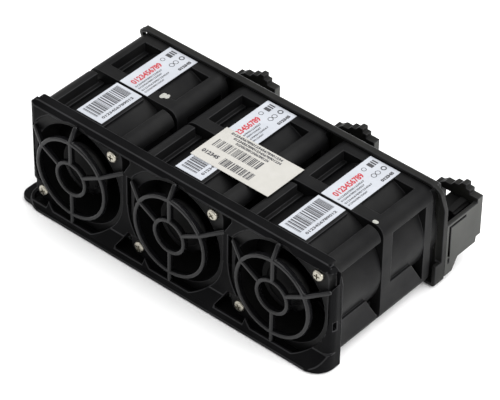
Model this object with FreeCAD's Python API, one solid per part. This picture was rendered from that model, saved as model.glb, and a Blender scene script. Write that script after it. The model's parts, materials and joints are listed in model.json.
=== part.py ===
import FreeCAD, Part
import os
from math import cos, pi, radians, sin, sqrt

# Server fan module: a row of counter-rotating fans between a moulded front frame with finger guards
# and a moulded rear frame with connector shrouds. X runs along the row, +Y is the way the air flows
# and +Z is up. The origin lies on the floor, below the middle fan's axis, in the front face's plane.
# Each fan is two motors back to back: a front and a rear housing, each with its own rotor.
# Lengths are in millimetres and angles in degrees.

Vector = FreeCAD.Vector
ORIGIN = Vector(0, 0, 0)
Y_AXIS = Vector(0, 1, 0)

# The row of fans
fan_names = ["left", "middle", "right"]
fan_size = 40.0
fan_spacing = 3.8
front_half_length = 27.0
rear_half_length = 29.0

# Frame walls and the gaps between the frames and the fans
face_wall = 1.0
strip_wall = 1.2
side_wall = 1.6
fan_gap = 0.3

# Fan housing
bore_wall = 1.2
barrel_wall = 0.9
barrel_sides = 40
housing_corner_radius = 4.0
corner_steps = 4
flange_thickness = 3.6
joint_flange_thickness = 4.8
rail_width = 5.4
rail_height = 4.6
rail_web = (4.0, 7.0)
side_panel_wall = 1.3
side_panel_height = 14.6
side_panel_notch = 6.2
spigot_length = 3.6
spigot_step = 1.6
label_land_depth = 0.1
joint_groove = 1.4
motor_base_width = 17.0
motor_base_thickness = 1.6
strut_width = 1.8
stator_post_width = 5.0
stator_post_length = 15.0
screw_edge = 4.0
screw_hole_depth = 8.0

# Rotor
hub_diameter = 20.4
hub_sides = 16
hub_wall = 1.3
hub_cap_thickness = 1.5
hub_base_gap = 0.8
inlet_recess = 3.0
blade_count = 5
blade_thickness = 1.0
blade_tip_gap = 0.5
blade_root_angle = 48.0
blade_tip_angle = 30.0
blade_root_chord = 11.0
blade_tip_chord = 14.0
blade_camber = 1.6
blade_root_depth = 0.6
shaft_diameter = 2.0
shaft_boss_diameter = 5.0
shaft_boss_length = 2.5
shaft_end_gap = 0.6
shaft_running_gap = 0.04
shaft_sides = 12
magnet_thickness = 1.4
magnet_length = 11.0

# Stator and circuit board, on the square post of the motor base
board_width = 13.0
board_thickness = 1.0
board_gap = 0.8
stator_height = 6.5
pole_gap = 0.45
core_wall = 1.0
pole_width = 3.2
pole_shoe_thickness = 1.2
pole_shoe_width = 7.6

# Front frame
face_corner_radius = 3.5
face_edge_chamfer = 1.7
frame_top_radius = 4.0
opening_arc_margin = 0.7
opening_side_margin = 0.9
upper_arc_margin = 2.6
opening_top_inset = 0.8
opening_bottom_inset = 1.2
pocket_side_margin = 4.3
pocket_height = 7.2
pocket_slope_drop = 1.2
pocket_depth = 4.4
strip_depth = 5.5
strip_end_gap = 1.2
side_slot_y = (2.0, 3.6)
side_slot_z = (16.5, 19.8)
side_depth = 6.0
side_top_depth = 3.6
side_slope_height = 34.0
skirt_height = 7.0
skirt_reach = 4.2
skirt_corner_radius = 7.0
skirt_lip = 1.0
foot_reach = 3.2
foot_length = 12.0
foot_front = -3.0
foot_thickness = 1.5
foot_corner_radius = 4.5

# Finger guard
guard_front = -3.1
guard_depth = 2.2
guard_bar = 1.5
guard_outer_diameter = 31.4
guard_inner_diameter = 14.0
outer_ring_sides = 36
inner_ring_sides = 24
spoke_slope = 2.9
end_spoke_reach = 0.4
# Each spoke: its angle, how far it reaches past the fan, and how far its end slopes back
guard_spokes = [(30, 4.8, spoke_slope), (90, end_spoke_reach, spoke_slope), (150, 2.3, spoke_slope),
                (270, end_spoke_reach, 0.0)]

# Fan screws
screw_width = 2.2
screw_head_diameter = 4.2
screw_head_sides = 12
screw_head_height = 1.3
screw_length = 7.0

# Rear frame
rear_wall = 2.5
rear_strip_depth = 3.3
rear_floor_depth = 2.5
rear_rim_width = 1.9
rear_rim_bend = 31.0
rear_edge_chamfer = 1.2
rear_slope_height = 30.2
rear_top_wall = 0.4
rear_rim_setback = 1.5
rear_top_radius = 4.5
rear_floor_radius = 1.5
rear_foot_height = 9.0
rear_corner_cut = 0.8
outlet_inset = 1.5

# Connector shroud, from the rear plate's back face; heights are from the fan's axis
shroud_width = 17.4
shroud_wall = 1.5
shroud_length = 19.0
shroud_rake = 2.6
shroud_top = 2.0
shroud_bottom = -15.2
shroud_neck = 6.9
shroud_step = 2.8
shroud_foot_height = 1.7
latch_slot_start = 1.4
latch_slot_width = 0.8
latch_slot_bottom = -15.0
latch_arm_length = 8.6
latch_arm_drop = 1.2
collar_depth = 3.0
collar_bottom = -13.0
collar_step = 1.6
# Each step of the collar's top: where it starts from the left side, and how many steps it stands high
collar_steps = [(1.5, 0), (3.5, 1), (6.0, 1), (7.3, 2), (9.2, 2), (10.5, 3), (12.3, 3)]
collar_key_width = 1.6
collar_shoulder_width = 3.5
socket_inset = 2.5
socket_width = 12.0
socket_z = (-10.5, 0.5)

# Fan plug in the shroud
plug_gap = 0.3
plug_side_room = 3.4
plug_start = 8.0
plug_cavity_depth = 7.0
plug_wall = 0.8
plug_rib_width = 2.4
plug_rib_inset = 0.9
plug_rib_length = 7.4
plug_rib_rise = (0.6, 1.4)
pin_count = 4
pin_pitch = 1.9
pin_width = 0.6
pin_length = 2.2

# Labels. X of the fans' labels is from the fan's axis
label_thickness = 0.1
front_label_x = (-6.2, 5.0)
front_label_y = (7.4, 27.0)
rear_label_x = (-6.2, 6.3)
rear_label_y = (28.2, 53.3)
asset_label_x = (-6.9, 26.2)
asset_label_y = (15.4, 33.5)

# Values worked out from the sizes above
fan_radius = fan_size / 2
axis_height = strip_wall + fan_gap + fan_radius
module_height = axis_height + fan_radius + fan_gap + strip_wall
fan_count = len(fan_names)
fan_pitch = fan_size + fan_spacing
half_width = (fan_count - 1) / 2 * fan_pitch + fan_radius + fan_gap + side_wall
fan_front = face_wall
joint_plane = fan_front + front_half_length
fan_back = joint_plane + rear_half_length
plate_back = fan_back + rear_wall
bore_diameter = fan_size - 2 * bore_wall
barrel_diameter = bore_diameter + 2 * barrel_wall
hub_start = motor_base_thickness + hub_base_gap
magnet_radius = hub_diameter / 2 - hub_wall
shroud_right = fan_pitch / 2
shroud_left = shroud_right - shroud_width
socket_x = (shroud_left + socket_inset, shroud_left + socket_inset + socket_width)
plug_x = (socket_x[0] + plug_side_room, socket_x[1] - plug_gap)
plug_z = (socket_z[0] + plug_gap, socket_z[1] - plug_gap)


def box(x_range, y_range, z_range):
    """Box between the given ends along each axis."""
    size = [pair[1] - pair[0] for pair in (x_range, y_range, z_range)]
    return Part.makeBox(size[0], size[1], size[2], Vector(x_range[0], y_range[0], z_range[0]))


def rod(diameter, y_range, x=0.0, z=0.0):
    """Cylinder along Y between two Y values."""
    return Part.makeCylinder(diameter / 2, y_range[1] - y_range[0], Vector(x, y_range[0], z), Y_AXIS)


def plate_xz(points, y_range):
    """Polygon in X and Z, drawn out between two Y values."""
    corners = [Vector(x, y_range[0], z) for x, z in points]
    wire = Part.makePolygon(corners + corners[:1])
    return Part.Face(wire).extrude(Vector(0, y_range[1] - y_range[0], 0))


def plate_yz(points, x_range):
    """Polygon in Y and Z, drawn out between two X values."""
    corners = [Vector(x_range[0], y, z) for y, z in points]
    wire = Part.makePolygon(corners + corners[:1])
    return Part.Face(wire).extrude(Vector(x_range[1] - x_range[0], 0, 0))


def rounded_bar(x_range, y_range, z_range, upper_radius, lower_radius=0.0):
    """Box with its upper and lower long edges rounded, which run along Y."""
    bar = box(x_range, y_range, z_range)
    long_edges = [edge for edge in bar.Edges if abs(edge.tangentAt(edge.FirstParameter).y) > 0.9]
    middle = (z_range[0] + z_range[1]) / 2
    bar = bar.makeFillet(upper_radius, [edge for edge in long_edges if edge.Vertexes[0].Z > middle])
    if not lower_radius:
        return bar
    lower_edges = [edge for edge in bar.Edges if abs(edge.tangentAt(edge.FirstParameter).y) > 0.9
                   and abs(edge.Vertexes[0].Z - z_range[0]) < 0.01]
    return bar.makeFillet(lower_radius, lower_edges)


def regular_bar(across_flats, sides, y_range):
    """Regular many-sided bar along Y about the axis."""
    corner_radius = across_flats / 2 / cos(pi / sides)
    angles = [2 * pi * (i + 0.5) / sides for i in range(sides)]
    return plate_xz([(corner_radius * cos(a), corner_radius * sin(a)) for a in angles], y_range)


def turned(shape, angle):
    """Copy of a shape, turned about the fan's axis."""
    copy = shape.copy()
    copy.rotate(ORIGIN, Y_AXIS, angle)
    return copy


def at_fan(shape, index, y=0.0):
    """Copy of a shape, moved from the frame's own axis to a fan's axis."""
    copy = shape.copy()
    copy.translate(Vector(fan_x(index), y, axis_height))
    return copy


def fan_x(index):
    """X of a fan's axis."""
    return (index - (fan_count - 1) / 2) * fan_pitch


def screw_points():
    """The two screwed corners of a fan: upper right and lower left."""
    offset = fan_radius - screw_edge
    return [(offset, offset), (-offset, -offset)]


# Fan halves. Each is drawn along its own axis from the joint plane at y = 0 to its open end at
# y = length. The front halves are then mirrored in the joint plane, so their blades turn the
# other way and both rotors drive the air along +Y.

def front_housing():
    """Front half's housing: it starts with a groove at the joint and ends in a flange."""
    length = front_half_length
    flange = housing_square((length - flange_thickness, length))
    body = (joint_groove, length)
    return housing_half(length, [housing_rails(body), flange] + side_panels(length, joint_groove))


def rear_housing():
    """Rear half's housing: a flange at the joint, another before the spigot that the frame holds."""
    length = rear_half_length
    spigot_start = length - spigot_length
    flange_start = spigot_start - flange_thickness
    flanges = [housing_square((0, joint_flange_thickness)), housing_square((flange_start, spigot_start))]
    half = fan_radius - spigot_step
    spigot = housing_square((spigot_start, length)).common(
        box((-half, half), (spigot_start, length), (-fan_size, fan_size)))
    panels = side_panels(joint_flange_thickness, flange_start)
    return housing_half(length, [housing_rails((0, spigot_start)), spigot] + flanges + panels)


def housing_half(length, outside):
    """Barrel with the pieces outside it, the label's land, and the motor base on its struts."""
    whole = (0, length)
    land_top = fan_radius - label_land_depth
    land = box(rear_label_x, (joint_groove, length), (land_top - barrel_wall, land_top))
    webs = [turned(rail_webbing(whole), angle) for angle in range(0, 360, 90)]
    barrel = regular_bar(barrel_diameter, barrel_sides, whole)
    bore = regular_bar(bore_diameter, barrel_sides, whole)
    shell = barrel.fuse(outside + webs + [land]).cut(bore)
    holes = [screw_hole(length, x, z) for x, z in screw_points()]
    return shell.fuse(motor_base()).cut(holes).removeSplitter()


def housing_square(y_range):
    """Square as large as the fan, with its corners rounded in flat steps."""
    centre = fan_radius - housing_corner_radius
    points = []
    for corner, (side_x, side_z) in enumerate(((1, 1), (-1, 1), (-1, -1), (1, -1))):
        for step in range(corner_steps + 1):
            angle = pi / 2 * (corner + step / corner_steps)
            points.append((side_x * centre + housing_corner_radius * cos(angle),
                           side_z * centre + housing_corner_radius * sin(angle)))
    return plate_xz(points, y_range)


def housing_rails(y_range):
    """Rail along each of the fan's four corners."""
    half_gap = fan_radius - rail_width
    between = box((-half_gap, half_gap), y_range, (-fan_size, fan_size))
    half_gap = fan_radius - rail_height
    beside = box((-fan_size, fan_size), y_range, (-half_gap, half_gap))
    return housing_square(y_range).cut([between, beside])


def rail_webbing(y_range):
    """Web between the barrel and the rail of the upper right corner."""
    outer, inner = [fan_radius - edge for edge in rail_web]
    return box((inner, outer), y_range, (inner, outer))


def side_panels(start, notch_end):
    """Wall that closes the lower part of each side; its upper corner is notched at one end."""
    bottom = housing_corner_radius - fan_radius
    top = side_panel_height - fan_radius
    notch = side_panel_notch if notch_end > start else -side_panel_notch
    profile = [(start, bottom), (notch_end, bottom), (notch_end - notch, top), (start, top)]
    inner = fan_radius - side_panel_wall
    return [plate_yz(profile, sorted((side * inner, side * fan_radius))) for side in (-1, 1)]


def screw_hole(length, x, z):
    """Six-sided pilot hole in a corner rail, from the open end."""
    hole = regular_bar(screw_width, 6, (length - screw_hole_depth, length + 1))
    hole.translate(Vector(x, 0, z))
    return hole


def motor_base():
    """Square plate on four struts that reach into the barrel, with the post that holds the stator."""
    half = motor_base_width / 2
    reach = (bore_diameter + barrel_wall) / 2
    plate = box((-half, half), (0, motor_base_thickness), (-half, half))
    strut = box((-strut_width / 2, strut_width / 2), (0, motor_base_thickness), (0, reach))
    struts = [turned(strut, angle) for angle in range(0, 360, 90)]
    post_half = stator_post_width / 2
    post = box((-post_half, post_half), (0, stator_post_length), (-post_half, post_half))
    bore = regular_bar(shaft_diameter + 2 * shaft_running_gap, shaft_sides, (0, stator_post_length))
    return plate.fuse(struts + [post]).cut(bore)


def blade_section(radius, chord, angle, y_middle):
    """Outline of a blade at one radius: three points along each side of its cambered chord."""
    pitch = radians(angle)
    points = []
    for along, off in ((-0.5, -0.5), (0, -0.5), (0.5, -0.5), (0.5, 0.5), (0, 0.5), (-0.5, 0.5)):
        bow = blade_camber if along == 0 else 0
        s = along * chord
        n = off * blade_thickness + bow
        points.append(Vector(s * cos(pitch) - n * sin(pitch), y_middle + s * sin(pitch) + n * cos(pitch),
                             radius))
    return points


def blade(y_middle):
    """Twisted and cambered blade in flat facets, from inside the hub to the tip."""
    tip_radius = bore_diameter / 2 - blade_tip_gap
    root_radius = hub_diameter / 2 - blade_root_depth
    tip = blade_section(tip_radius, blade_tip_chord, blade_tip_angle, y_middle)
    tip = [on_cylinder(point, tip_radius) for point in tip]
    root = blade_section(root_radius, blade_root_chord, blade_root_angle, y_middle)
    return faceted_loft(root, tip)


def on_cylinder(point, radius):
    """The point moved along Z onto a cylinder about the axis."""
    return Vector(point.x, point.y, sqrt(radius ** 2 - point.x ** 2))


def faceted_loft(root, tip):
    """Solid between two rings of points, with each side split into two flat triangles."""
    count = len(root)
    faces = cap_faces(root) + cap_faces(tip)
    for i in range(count):
        j = (i + 1) % count
        for corners in ((root[i], root[j], tip[j]), (root[i], tip[j], tip[i])):
            faces.append(Part.Face(Part.makePolygon(list(corners) + [corners[0]])))
    return Part.Solid(Part.Shell(faces))


def cap_faces(ring):
    """The end of a faceted blade as triangles between its two sides."""
    triangles = ((0, 1, 4), (0, 4, 5), (1, 2, 3), (1, 3, 4))
    faces = []
    for triple in triangles:
        corners = [ring[i] for i in triple]
        faces.append(Part.Face(Part.makePolygon(corners + corners[:1])))
    return faces


def impeller(length):
    """Hub cup with its shaft boss and the ring of blades."""
    cap_end = length - inlet_recess
    cavity = (hub_start, cap_end - hub_cap_thickness)
    hub = regular_bar(hub_diameter, hub_sides, (hub_start, cap_end))
    hub = hub.cut(regular_bar(2 * magnet_radius, hub_sides, cavity))
    boss_start = cap_end - hub_cap_thickness - shaft_boss_length
    boss = regular_bar(shaft_boss_diameter, hub_sides // 4, (boss_start, cap_end - hub_cap_thickness))
    y_middle = (hub_start + cap_end) / 2
    blades = [turned(blade(y_middle), 360 / blade_count * i) for i in range(blade_count)]
    return hub.fuse(blades + [boss])


def shaft(length):
    """Steel shaft from inside the motor base to the hub's boss."""
    boss_start = length - inlet_recess - hub_cap_thickness - shaft_boss_length
    across_flats = shaft_diameter * cos(pi / shaft_sides)
    return regular_bar(across_flats, shaft_sides, (shaft_end_gap, boss_start))


def rotor_magnet():
    """Ring magnet inside the hub."""
    ring = (hub_start, hub_start + magnet_length)
    outer = regular_bar(2 * magnet_radius, hub_sides, ring)
    return outer.cut(regular_bar(2 * (magnet_radius - magnet_thickness), hub_sides, ring))


def circuit_board():
    """Board round the post, on the motor base."""
    half = board_width / 2
    chamfer = board_width / 4
    y_range = (motor_base_thickness, motor_base_thickness + board_thickness)
    outline = [(-half, -half + chamfer), (-half + chamfer, -half), (half - chamfer, -half),
               (half, -half + chamfer), (half, half - chamfer), (half - chamfer, half),
               (-half + chamfer, half), (-half, half - chamfer)]
    hole = stator_post_width / 2
    return plate_xz(outline, y_range).cut(box((-hole, hole), y_range, (-hole, hole)))


def stator():
    """Four-pole core round the post: straight poles with wider shoes."""
    start = motor_base_thickness + board_thickness + board_gap
    y_range = (start, start + stator_height)
    shoe_half = pole_shoe_width / 2
    shoe_edge = sqrt((magnet_radius - magnet_thickness - pole_gap) ** 2 - shoe_half ** 2)
    half = pole_width / 2
    pole = box((-half, half), y_range, (0, shoe_edge))
    shoe = box((-shoe_half, shoe_half), y_range, (shoe_edge - pole_shoe_thickness, shoe_edge))
    poles = [turned(piece, angle) for angle in range(0, 360, 90) for piece in (pole, shoe)]
    hole = stator_post_width / 2
    core_half = hole + core_wall
    core = box((-core_half, core_half), y_range, (-core_half, core_half))
    post_hole = box((-hole, hole), y_range, (-hole, hole))
    return core.fuse(poles).cut(post_hole).removeSplitter()


# Front frame

def plan_outline(inset, front, corner_radius, back, z):
    """Plan view of the frame at one height: straight back and sides, rounded front corners."""
    half = half_width - inset
    bend = corner_radius * (1 - sqrt(0.5))
    left_back = Vector(-half, back, z)
    right_back = Vector(half, back, z)
    left_side = Vector(-half, front + corner_radius, z)
    left_front = Vector(-half + corner_radius, front, z)
    right_front = Vector(half - corner_radius, front, z)
    right_side = Vector(half, front + corner_radius, z)
    left_bend = Vector(-half + bend, front + bend, z)
    right_bend = Vector(half - bend, front + bend, z)
    edges = [Part.LineSegment(left_back, left_side), Part.Arc(left_side, left_bend, left_front),
             Part.LineSegment(left_front, right_front), Part.Arc(right_front, right_bend, right_side),
             Part.LineSegment(right_side, right_back), Part.LineSegment(right_back, left_back)]
    return Part.Wire([edge.toShape() for edge in edges])


def skirt(side_inset, front_inset, back):
    """Solid inside the flared skirt's outer surface, or inside its wall: it spreads towards the floor."""
    front = front_inset - skirt_reach
    profile = [(front, 0), (front, skirt_lip), (front_inset, skirt_height), (back, skirt_height), (back, 0)]
    plan = plan_outline(side_inset, front, skirt_corner_radius - side_inset, back, 0)
    upright = Part.Face(plan).extrude(Vector(0, 0, skirt_height))
    return plate_yz(profile, (-half_width, half_width)).common(upright)


def frame_block(side_inset, height_inset, y_range, upper_radius, lower_radius=0.0):
    """Block as wide and as high as the module, less the insets, with its long edges rounded."""
    half = half_width - side_inset
    return rounded_bar((-half, half), y_range, (height_inset, module_height - height_inset),
                       upper_radius, lower_radius)


def opening_cutter():
    """What the air opening of one fan takes out of the face, with its two screw corners."""
    reach = (-skirt_reach - 1, face_wall)
    clear = fan_radius + opening_side_margin
    top = fan_radius - opening_top_inset
    bottom = opening_bottom_inset - fan_radius
    arc = rod(2 * (fan_radius + opening_arc_margin), reach)
    lower = arc.common(box((-clear, clear), reach, (bottom, clear)))
    shoulder = top - pocket_height
    middle = box((-clear, clear), reach, (0, shoulder))
    upper_arc = rod(2 * (fan_radius + upper_arc_margin), reach)
    upper = upper_arc.common(box((-clear, clear), reach, (0, top)))
    far = fan_radius + pocket_side_margin
    pocket = [(shoulder, shoulder), (clear, shoulder), (far, top - pocket_slope_drop), (far, top),
              (shoulder, top)]
    deep = (-skirt_reach - 1, pocket_depth)
    upper_pocket = plate_xz(pocket, deep)
    lower_pocket = plate_xz([(-x, max(-z, bottom)) for x, z in pocket], deep)
    return lower.fuse([middle, upper, upper_pocket, lower_pocket])


def finger_guard():
    """Two rings on four spokes, standing in front of the fan and running back into the face."""
    y_range = (guard_front, guard_front + guard_depth)
    rings = [guard_ring(guard_outer_diameter, outer_ring_sides, y_range),
             guard_ring(guard_inner_diameter, inner_ring_sides, y_range)]
    guard = rings[0].fuse(rings[1:] + [guard_spoke(*spoke) for spoke in guard_spokes])
    before_fan = box((-fan_pitch, fan_pitch), (guard_front, face_wall), (-fan_size, fan_size))
    return guard.common(before_fan)


def guard_ring(outer, sides, y_range):
    """Many-sided ring of the guard, with the bar's width."""
    return regular_bar(outer, sides, y_range).cut(regular_bar(outer - 2 * guard_bar, sides, y_range))


def guard_spoke(angle, reach, slope):
    """Spoke from the inner ring to past the fan's radius; beyond the outer ring it slopes back."""
    start = (guard_inner_diameter - guard_bar) / 2
    bend = guard_outer_diameter / 2
    end = fan_radius + reach
    back = guard_front + guard_depth
    side = [(start, guard_front), (bend, guard_front), (end, guard_front + slope), (end, back + slope),
            (bend, back), (start, back)]
    corners = [Vector(x, y, -guard_bar / 2) for x, y in side]
    bar = Part.Face(Part.makePolygon(corners + corners[:1])).extrude(Vector(0, 0, guard_bar))
    return turned(bar, -angle)


def foot_tab():
    """Flat foot that stands out at the left end of the floor flange."""
    left = -half_width - foot_reach
    tab = box((left, -half_width + foot_corner_radius), (foot_front, foot_front + foot_length),
              (0, foot_thickness))
    corners = [edge for edge in tab.Edges if edge.BoundBox.XMax < left + 0.01
               and abs(edge.tangentAt(edge.FirstParameter).z) > 0.9]
    return tab.makeFillet(foot_corner_radius, corners)


def front_frame():
    """Front moulding: face with the air openings, skirt, strips and sides round the fans' front ends."""
    past = module_height + 1
    inner_half = half_width - side_wall
    depth = (-skirt_reach, side_depth)
    face = Part.Face(plan_outline(0, 0, face_corner_radius, side_depth, 0)).extrude(Vector(0, 0, past))
    outer = face.common(frame_block(0, 0, depth, frame_top_radius)).fuse(skirt(0, 0, side_depth))
    fan_space = frame_block(side_wall, strip_wall, (face_wall, past), frame_top_radius - side_wall)
    floor = box((-half_width, half_width), (-past, past), (-1, strip_wall))
    skirt_space = skirt(side_wall, face_wall, past).cut(floor)
    edge = [(-1, module_height - face_edge_chamfer - 1), (face_edge_chamfer + 1, past), (-1, past)]
    chamfer = plate_yz(edge, (-half_width, half_width))
    behind_strips = box((-inner_half, inner_half), (strip_depth, past), (-1, past))
    cuts = [fan_space, skirt_space, chamfer, behind_strips]
    side_slope = [(side_depth, side_slope_height), (side_top_depth, module_height),
                  (side_top_depth, past), (side_depth + 1, past)]
    above_fans = (module_height - strip_wall, past)
    for side in (-1, 1):
        wall = sorted((side * inner_half, side * half_width))
        strip_end = sorted((side * (inner_half - strip_end_gap), side * inner_half))
        corner = sorted((side * (inner_half - strip_end_gap), side * half_width))
        cuts.append(plate_yz(side_slope, corner))
        cuts.append(box(wall, side_slot_y, side_slot_z))
        cuts.append(box(strip_end, (face_edge_chamfer, strip_depth), above_fans))
    cuts += [at_fan(opening_cutter(), index) for index in range(fan_count)]
    return outer.cut(cuts).fuse(foot_tab()).removeSplitter()


# Rear frame

def rear_frame():
    """Rear moulding: plate with the outlets, strips above and below the fans, and a rim at each side."""
    inner_half = half_width - side_wall
    past = module_height + 1
    strip_front = fan_back - rear_strip_depth
    floor_front = fan_back - rear_floor_depth
    body = frame_block(0, 0, (strip_front, plate_back), rear_top_radius, rear_floor_radius)
    fan_space = frame_block(side_wall, strip_wall, (0, fan_back), rear_top_radius - side_wall)
    before_floor = box((-half_width, half_width), (0, floor_front), (-1, axis_height))
    top_back = fan_back + rear_top_wall
    plate_slope = [(plate_back, rear_slope_height), (plate_back + 1, past), (top_back, past),
                   (top_back, module_height)]
    edge = rear_edge_chamfer
    chamfer = [(top_back - edge - 1, past), (top_back + 1, past), (top_back + 1, module_height - edge - 1)]
    cuts = [fan_space, before_floor]
    cuts += [plate_yz(profile, (-half_width, half_width)) for profile in (plate_slope, chamfer)]
    rim_back = fan_back - rear_rim_setback
    rim_front = plate_back - rear_rim_width
    behind_rim = [(plate_back, rear_slope_height), (plate_back + 1, past), (rim_back, past),
                  (rim_back, module_height)]
    before_rim = [(strip_front - 1, rear_foot_height), (rim_front, rear_foot_height),
                  (rim_front, rear_rim_bend), (strip_front, module_height), (strip_front - 1, past)]
    for side in (-1, 1):
        corner = sorted((side * (inner_half - rear_corner_cut), side * half_width))
        cuts += [plate_yz(profile, corner) for profile in (behind_rim, before_rim)]
    outlet = regular_bar(fan_size - 2 * outlet_inset, 8, (0, plate_back + 1))
    cuts += [at_fan(outlet, index) for index in range(fan_count)]
    return body.cut(cuts).removeSplitter()


def connector_shroud():
    """Shroud behind one fan: right wall, left wall and floor, and the stepped collar at the back."""
    left = shroud_left
    right = shroud_right
    wall = shroud_wall
    foot = shroud_foot_height - axis_height
    outline = [(0, shroud_top), (shroud_length, shroud_top), (shroud_length - shroud_rake, shroud_bottom),
               (shroud_neck, shroud_bottom), (shroud_neck - shroud_step, foot), (0, foot)]
    right_wall = plate_yz(outline, (right - wall, right)).cut(latch_slot())
    left_wall = box((left, left + wall), (0, shroud_length), (collar_bottom, shroud_top))
    floor = box((left, right), (0, shroud_length), (collar_bottom, collar_bottom + wall))
    collar = plate_xz(collar_outline(left, right), (shroud_length - collar_depth, shroud_length))
    socket = box(socket_x, (0, shroud_length + 1), socket_z)
    return right_wall.fuse([left_wall, floor, collar]).cut(socket).removeSplitter()


def latch_slot():
    """Slot in the shroud's right wall: it rises from the wall's lower edge, then turns to the back."""
    wall = (shroud_right - shroud_wall, shroud_right)
    arm_top = shroud_top - latch_arm_drop
    upright = box(wall, (latch_slot_start, latch_slot_start + latch_slot_width),
                  (latch_slot_bottom, arm_top))
    arm = box(wall, (latch_slot_start, latch_slot_start + latch_arm_length),
              (arm_top - latch_slot_width, arm_top))
    return upright.fuse(arm)


def collar_outline(left, right):
    """Stepped top of the collar, with the key at its right, between the shroud's two sides."""
    first = shroud_top + collar_step
    shoulder = right - collar_shoulder_width
    points = [(left, collar_bottom), (left, shroud_top)]
    points += [(left + start, shroud_top + count * collar_step) for start, count in collar_steps]
    points += [(shoulder - collar_key_width, first + collar_step), (shoulder, first + collar_step),
               (shoulder, first), (right, first), (right, collar_bottom)]
    return points


# Small parts

def fan_screw():
    """Screw along +Y, with the underside of its head at y = 0."""
    head = regular_bar(screw_head_diameter, screw_head_sides, (-screw_head_height, 0))
    return head.fuse(regular_bar(screw_width, 6, (0, screw_length)))


def front_screws():
    """One screw at each screwed corner of every fan, driven in from the fans' front plane."""
    screws = []
    for index in range(fan_count):
        for x, z in screw_points():
            screw = fan_screw()
            screw.translate(Vector(x, 0, z))
            screws.append(at_fan(screw, index, fan_front))
    return Part.makeCompound(screws)


def top_label(x_range, y_range, layer=0):
    """Flat label on the fans' top faces, or on the layer of labels that is stuck there."""
    bottom = axis_height + fan_radius + layer * label_thickness
    return box(x_range, y_range, (bottom, bottom + label_thickness))


def fan_label(index, x_range, y_range):
    """Label on one fan's top."""
    return top_label([fan_x(index) + x for x in x_range], y_range)


def fan_plug():
    """Plug body in the shroud's collar, hollow at its mating end, with a guide rib on its top."""
    end = shroud_length - plug_gap
    body = box(plug_x, (plug_start, end), plug_z)
    cavity = box((plug_x[0] + plug_wall, plug_x[1] - plug_wall), (end - plug_cavity_depth, end),
                 (plug_z[0] + plug_wall, plug_z[1] - plug_wall))
    top = plug_z[1]
    rib_end = plug_start + plug_rib_length
    rib = [(plug_start, top), (rib_end, top), (rib_end, top + plug_rib_rise[1]),
           (plug_start, top + plug_rib_rise[0])]
    rib_right = plug_x[1] - plug_rib_inset
    return body.cut(cavity).fuse(plate_yz(rib, (rib_right - plug_rib_width, rib_right)))


def plug_pins():
    """Row of pins on the floor of the plug's cavity."""
    floor = shroud_length - plug_gap - plug_cavity_depth
    x_middle = sum(plug_x) / 2
    z_middle = sum(plug_z) / 2
    half = pin_width / 2
    pins = []
    for i in range(pin_count):
        x = x_middle + (i - (pin_count - 1) / 2) * pin_pitch
        pins.append(box((x - half, x + half), (floor, floor + pin_length),
                        (z_middle - half, z_middle + half)))
    return Part.makeCompound(pins)


# Assembly

def front_half(shape):
    """A half drawn along +Y, mirrored so that it points to the front."""
    return shape.mirror(ORIGIN, Y_AXIS)


def housing_row(housing):
    """The same half's housings of all fans, as separate mouldings side by side."""
    return Part.makeCompound([at_fan(housing, index, joint_plane) for index in range(fan_count)])


def add_half(parts, name, index, length, is_front):
    """Put one half's rotor and motor at its fan."""
    pieces = {"impeller": impeller(length), "shaft": shaft(length), "rotor_magnet": rotor_magnet(),
              "stator": stator(), "circuit_board": circuit_board()}
    for piece_name, piece in pieces.items():
        placed = front_half(piece) if is_front else piece
        parts[f"{name}_{piece_name}"] = at_fan(placed, index, joint_plane)


def build_parts():
    """Every sub-part, placed, under the name of its node."""
    parts = {"front_frame": front_frame(), "rear_frame": rear_frame(), "front_screws": front_screws(),
             "front_housings": housing_row(front_half(front_housing())),
             "rear_housings": housing_row(rear_housing()),
             "asset_label": top_label(asset_label_x, asset_label_y, 1)}
    for index, name in enumerate(fan_names):
        parts[f"{name}_finger_guard"] = at_fan(finger_guard(), index).cut(parts["front_frame"])
        add_half(parts, f"{name}_front", index, front_half_length, True)
        add_half(parts, f"{name}_rear", index, rear_half_length, False)
        parts[f"{name}_front_label"] = fan_label(index, front_label_x, front_label_y)
        parts[f"{name}_rear_label"] = fan_label(index, rear_label_x, rear_label_y)
        parts[f"{name}_shroud"] = at_fan(connector_shroud(), index, plate_back)
        parts[f"{name}_plug"] = at_fan(fan_plug(), index, plate_back)
        parts[f"{name}_plug_pins"] = at_fan(plug_pins(), index, plate_back)
    return parts


os.makedirs("parts", exist_ok=True)
for node, shape in build_parts().items():
    shape.exportStep(f"parts/{node}.step")
    print(f"{node}: {len(shape.Solids)} solids, {len(shape.Faces)} faces, {shape.Volume:.1f} mm3")
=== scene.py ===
# %% [markdown]
# # A server fan module, dressed for a picture
# The real object is a row of three small fans in a 1U server. A moulded front frame with finger guards
# and a moulded rear frame with connector shrouds hold them. The CAD model already has every part at its
# size and place, so this lesson adds what a camera sees: rounded edges, moulded and plated finishes,
# printed labels, and the soft forms of blades and screw heads.

# %% Load the CAD model as a fixed frame
import json
import math
import random

import bpy
from mathutils import Matrix, Vector
from mathutils.bvhtree import BVHTree

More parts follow.
